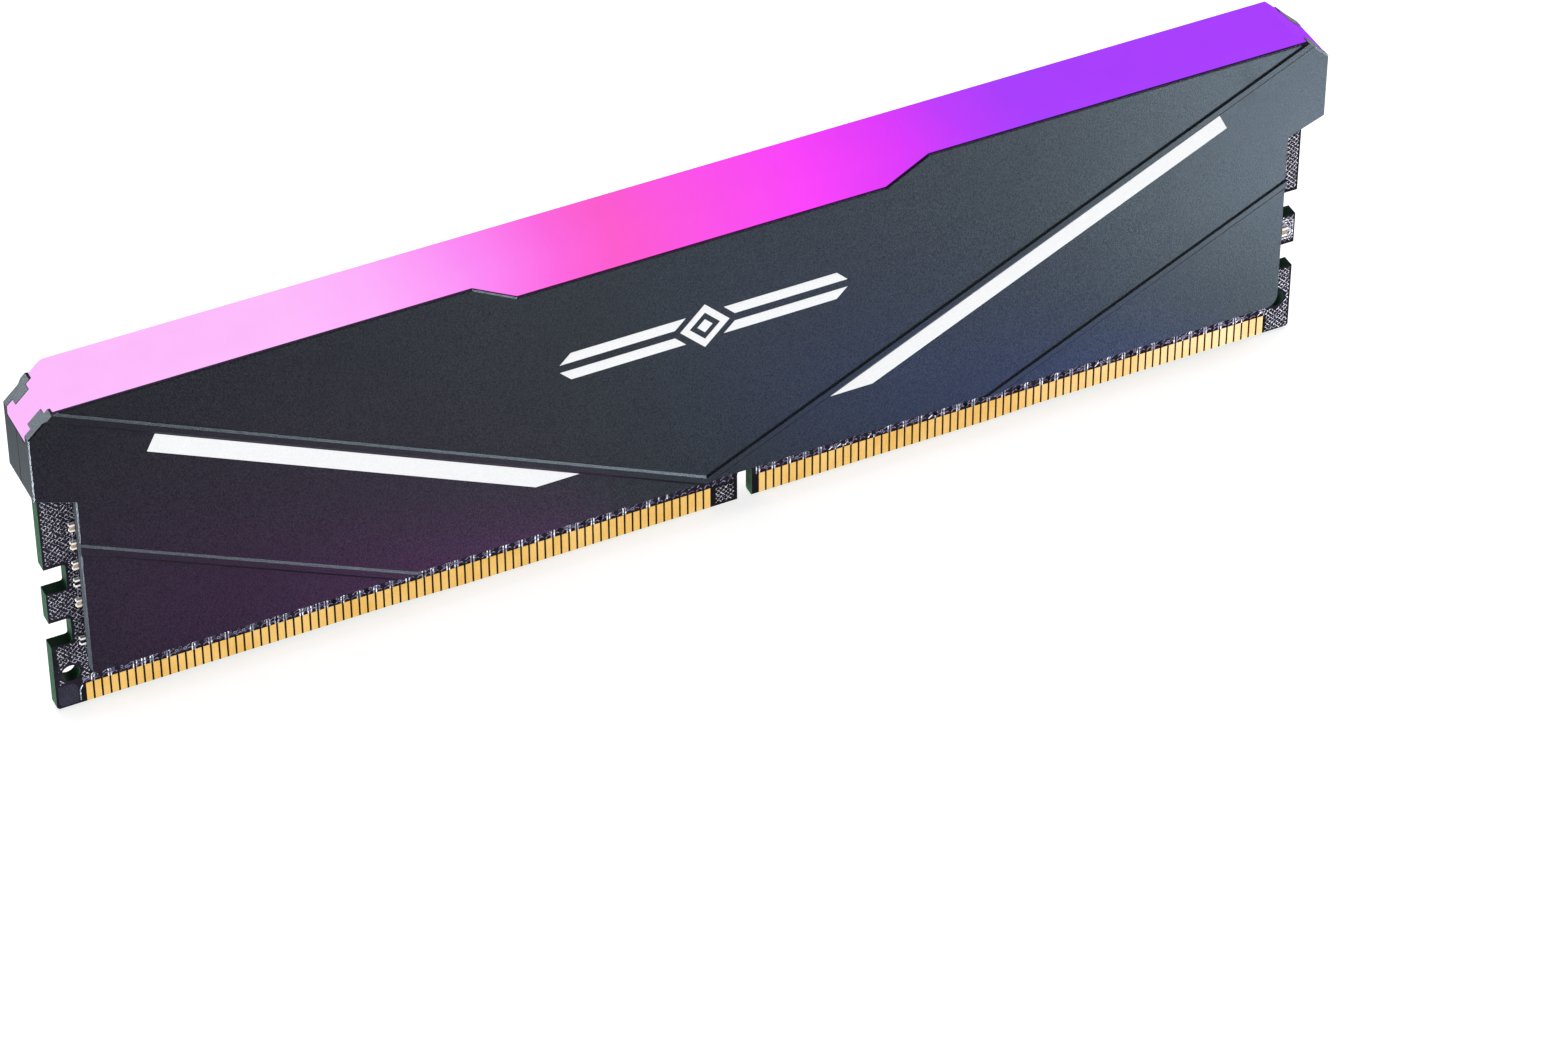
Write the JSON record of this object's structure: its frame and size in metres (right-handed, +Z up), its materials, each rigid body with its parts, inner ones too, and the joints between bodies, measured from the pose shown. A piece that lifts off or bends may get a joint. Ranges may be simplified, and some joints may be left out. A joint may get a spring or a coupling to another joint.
{
  "type": "memory module",
  "caption": "Computer memory module: a circuit board with a gold edge connector between dark metal heat spreader shells, topped by a glowing translucent light bar.",
  "frame": {"origin": "middle of the contact edge's lowest stretch, half-way through the board's thickness", "axes": "+X along the module to the right as seen from the front, -Y out of the front shell (the key notch is right of centre seen from there), +Z up, out of the socket"},
  "size_m": [0.1352, 0.0068, 0.0397],
  "materials": {
    "circuit_board": "black solder mask over glass laminate, green at the cut edges",
    "gold_contact": "gold plated",
    "dark_anodised": "dark grey anodised, fine blasted grain",
    "white_print": "satin white printed marking on the shells",
    "light_diffuser": "milky translucent, lit from inside",
    "thermal_pad": "soft grey gap filler",
    "led_package": "white moulded",
    "chip_package": "matte moulded",
    "tinned_metal": "matte tin",
    "resistor_body": "glazed black",
    "capacitor_body": "pale fired ceramic"
  },
  "bodies": {
    "root": {"back_capacitor_bodies": "capacitor_body", "back_capacitor_terminals": "tinned_metal", "back_heat_spreader": "dark_anodised", "back_resistor_network_bodies": "resistor_body", "back_resistor_network_terminals": "tinned_metal", "back_thermal_pad": "thermal_pad", "contacts_back_long": "gold_contact", "contacts_back_short": "gold_contact", "contacts_front_long": "gold_contact", "contacts_front_short": "gold_contact", "dram_chip_1": "chip_package", "dram_chip_2": "chip_package", "dram_chip_3": "chip_package", "dram_chip_4": "chip_package", "dram_chip_5": "chip_package", "dram_chip_6": "chip_package", "dram_chip_7": "chip_package", "dram_chip_8": "chip_package", "front_capacitor_bodies": "capacitor_body", "front_capacitor_terminals": "tinned_metal", "front_heat_spreader": "dark_anodised", "front_large_capacitor_bodies": "capacitor_body", "front_large_capacitor_terminals": "tinned_metal", "front_resistor_bodies": "resistor_body", "front_resistor_network_bodies": "resistor_body", "front_resistor_network_terminals": "tinned_metal", "front_resistor_terminals": "tinned_metal", "front_thermal_pad": "thermal_pad", "led_driver": "chip_package", "light_diffuser": "light_diffuser", "pcb": "circuit_board", "rgb_led_1": "led_package", "rgb_led_2": "led_package", "rgb_led_3": "led_package", "rgb_led_4": "led_package", "rgb_led_5": "led_package", "rgb_led_6": "led_package", "rgb_led_7": "led_package", "rgb_led_8": "led_package", "spd_eeprom": "chip_package"}
  },
  "joints": []
}
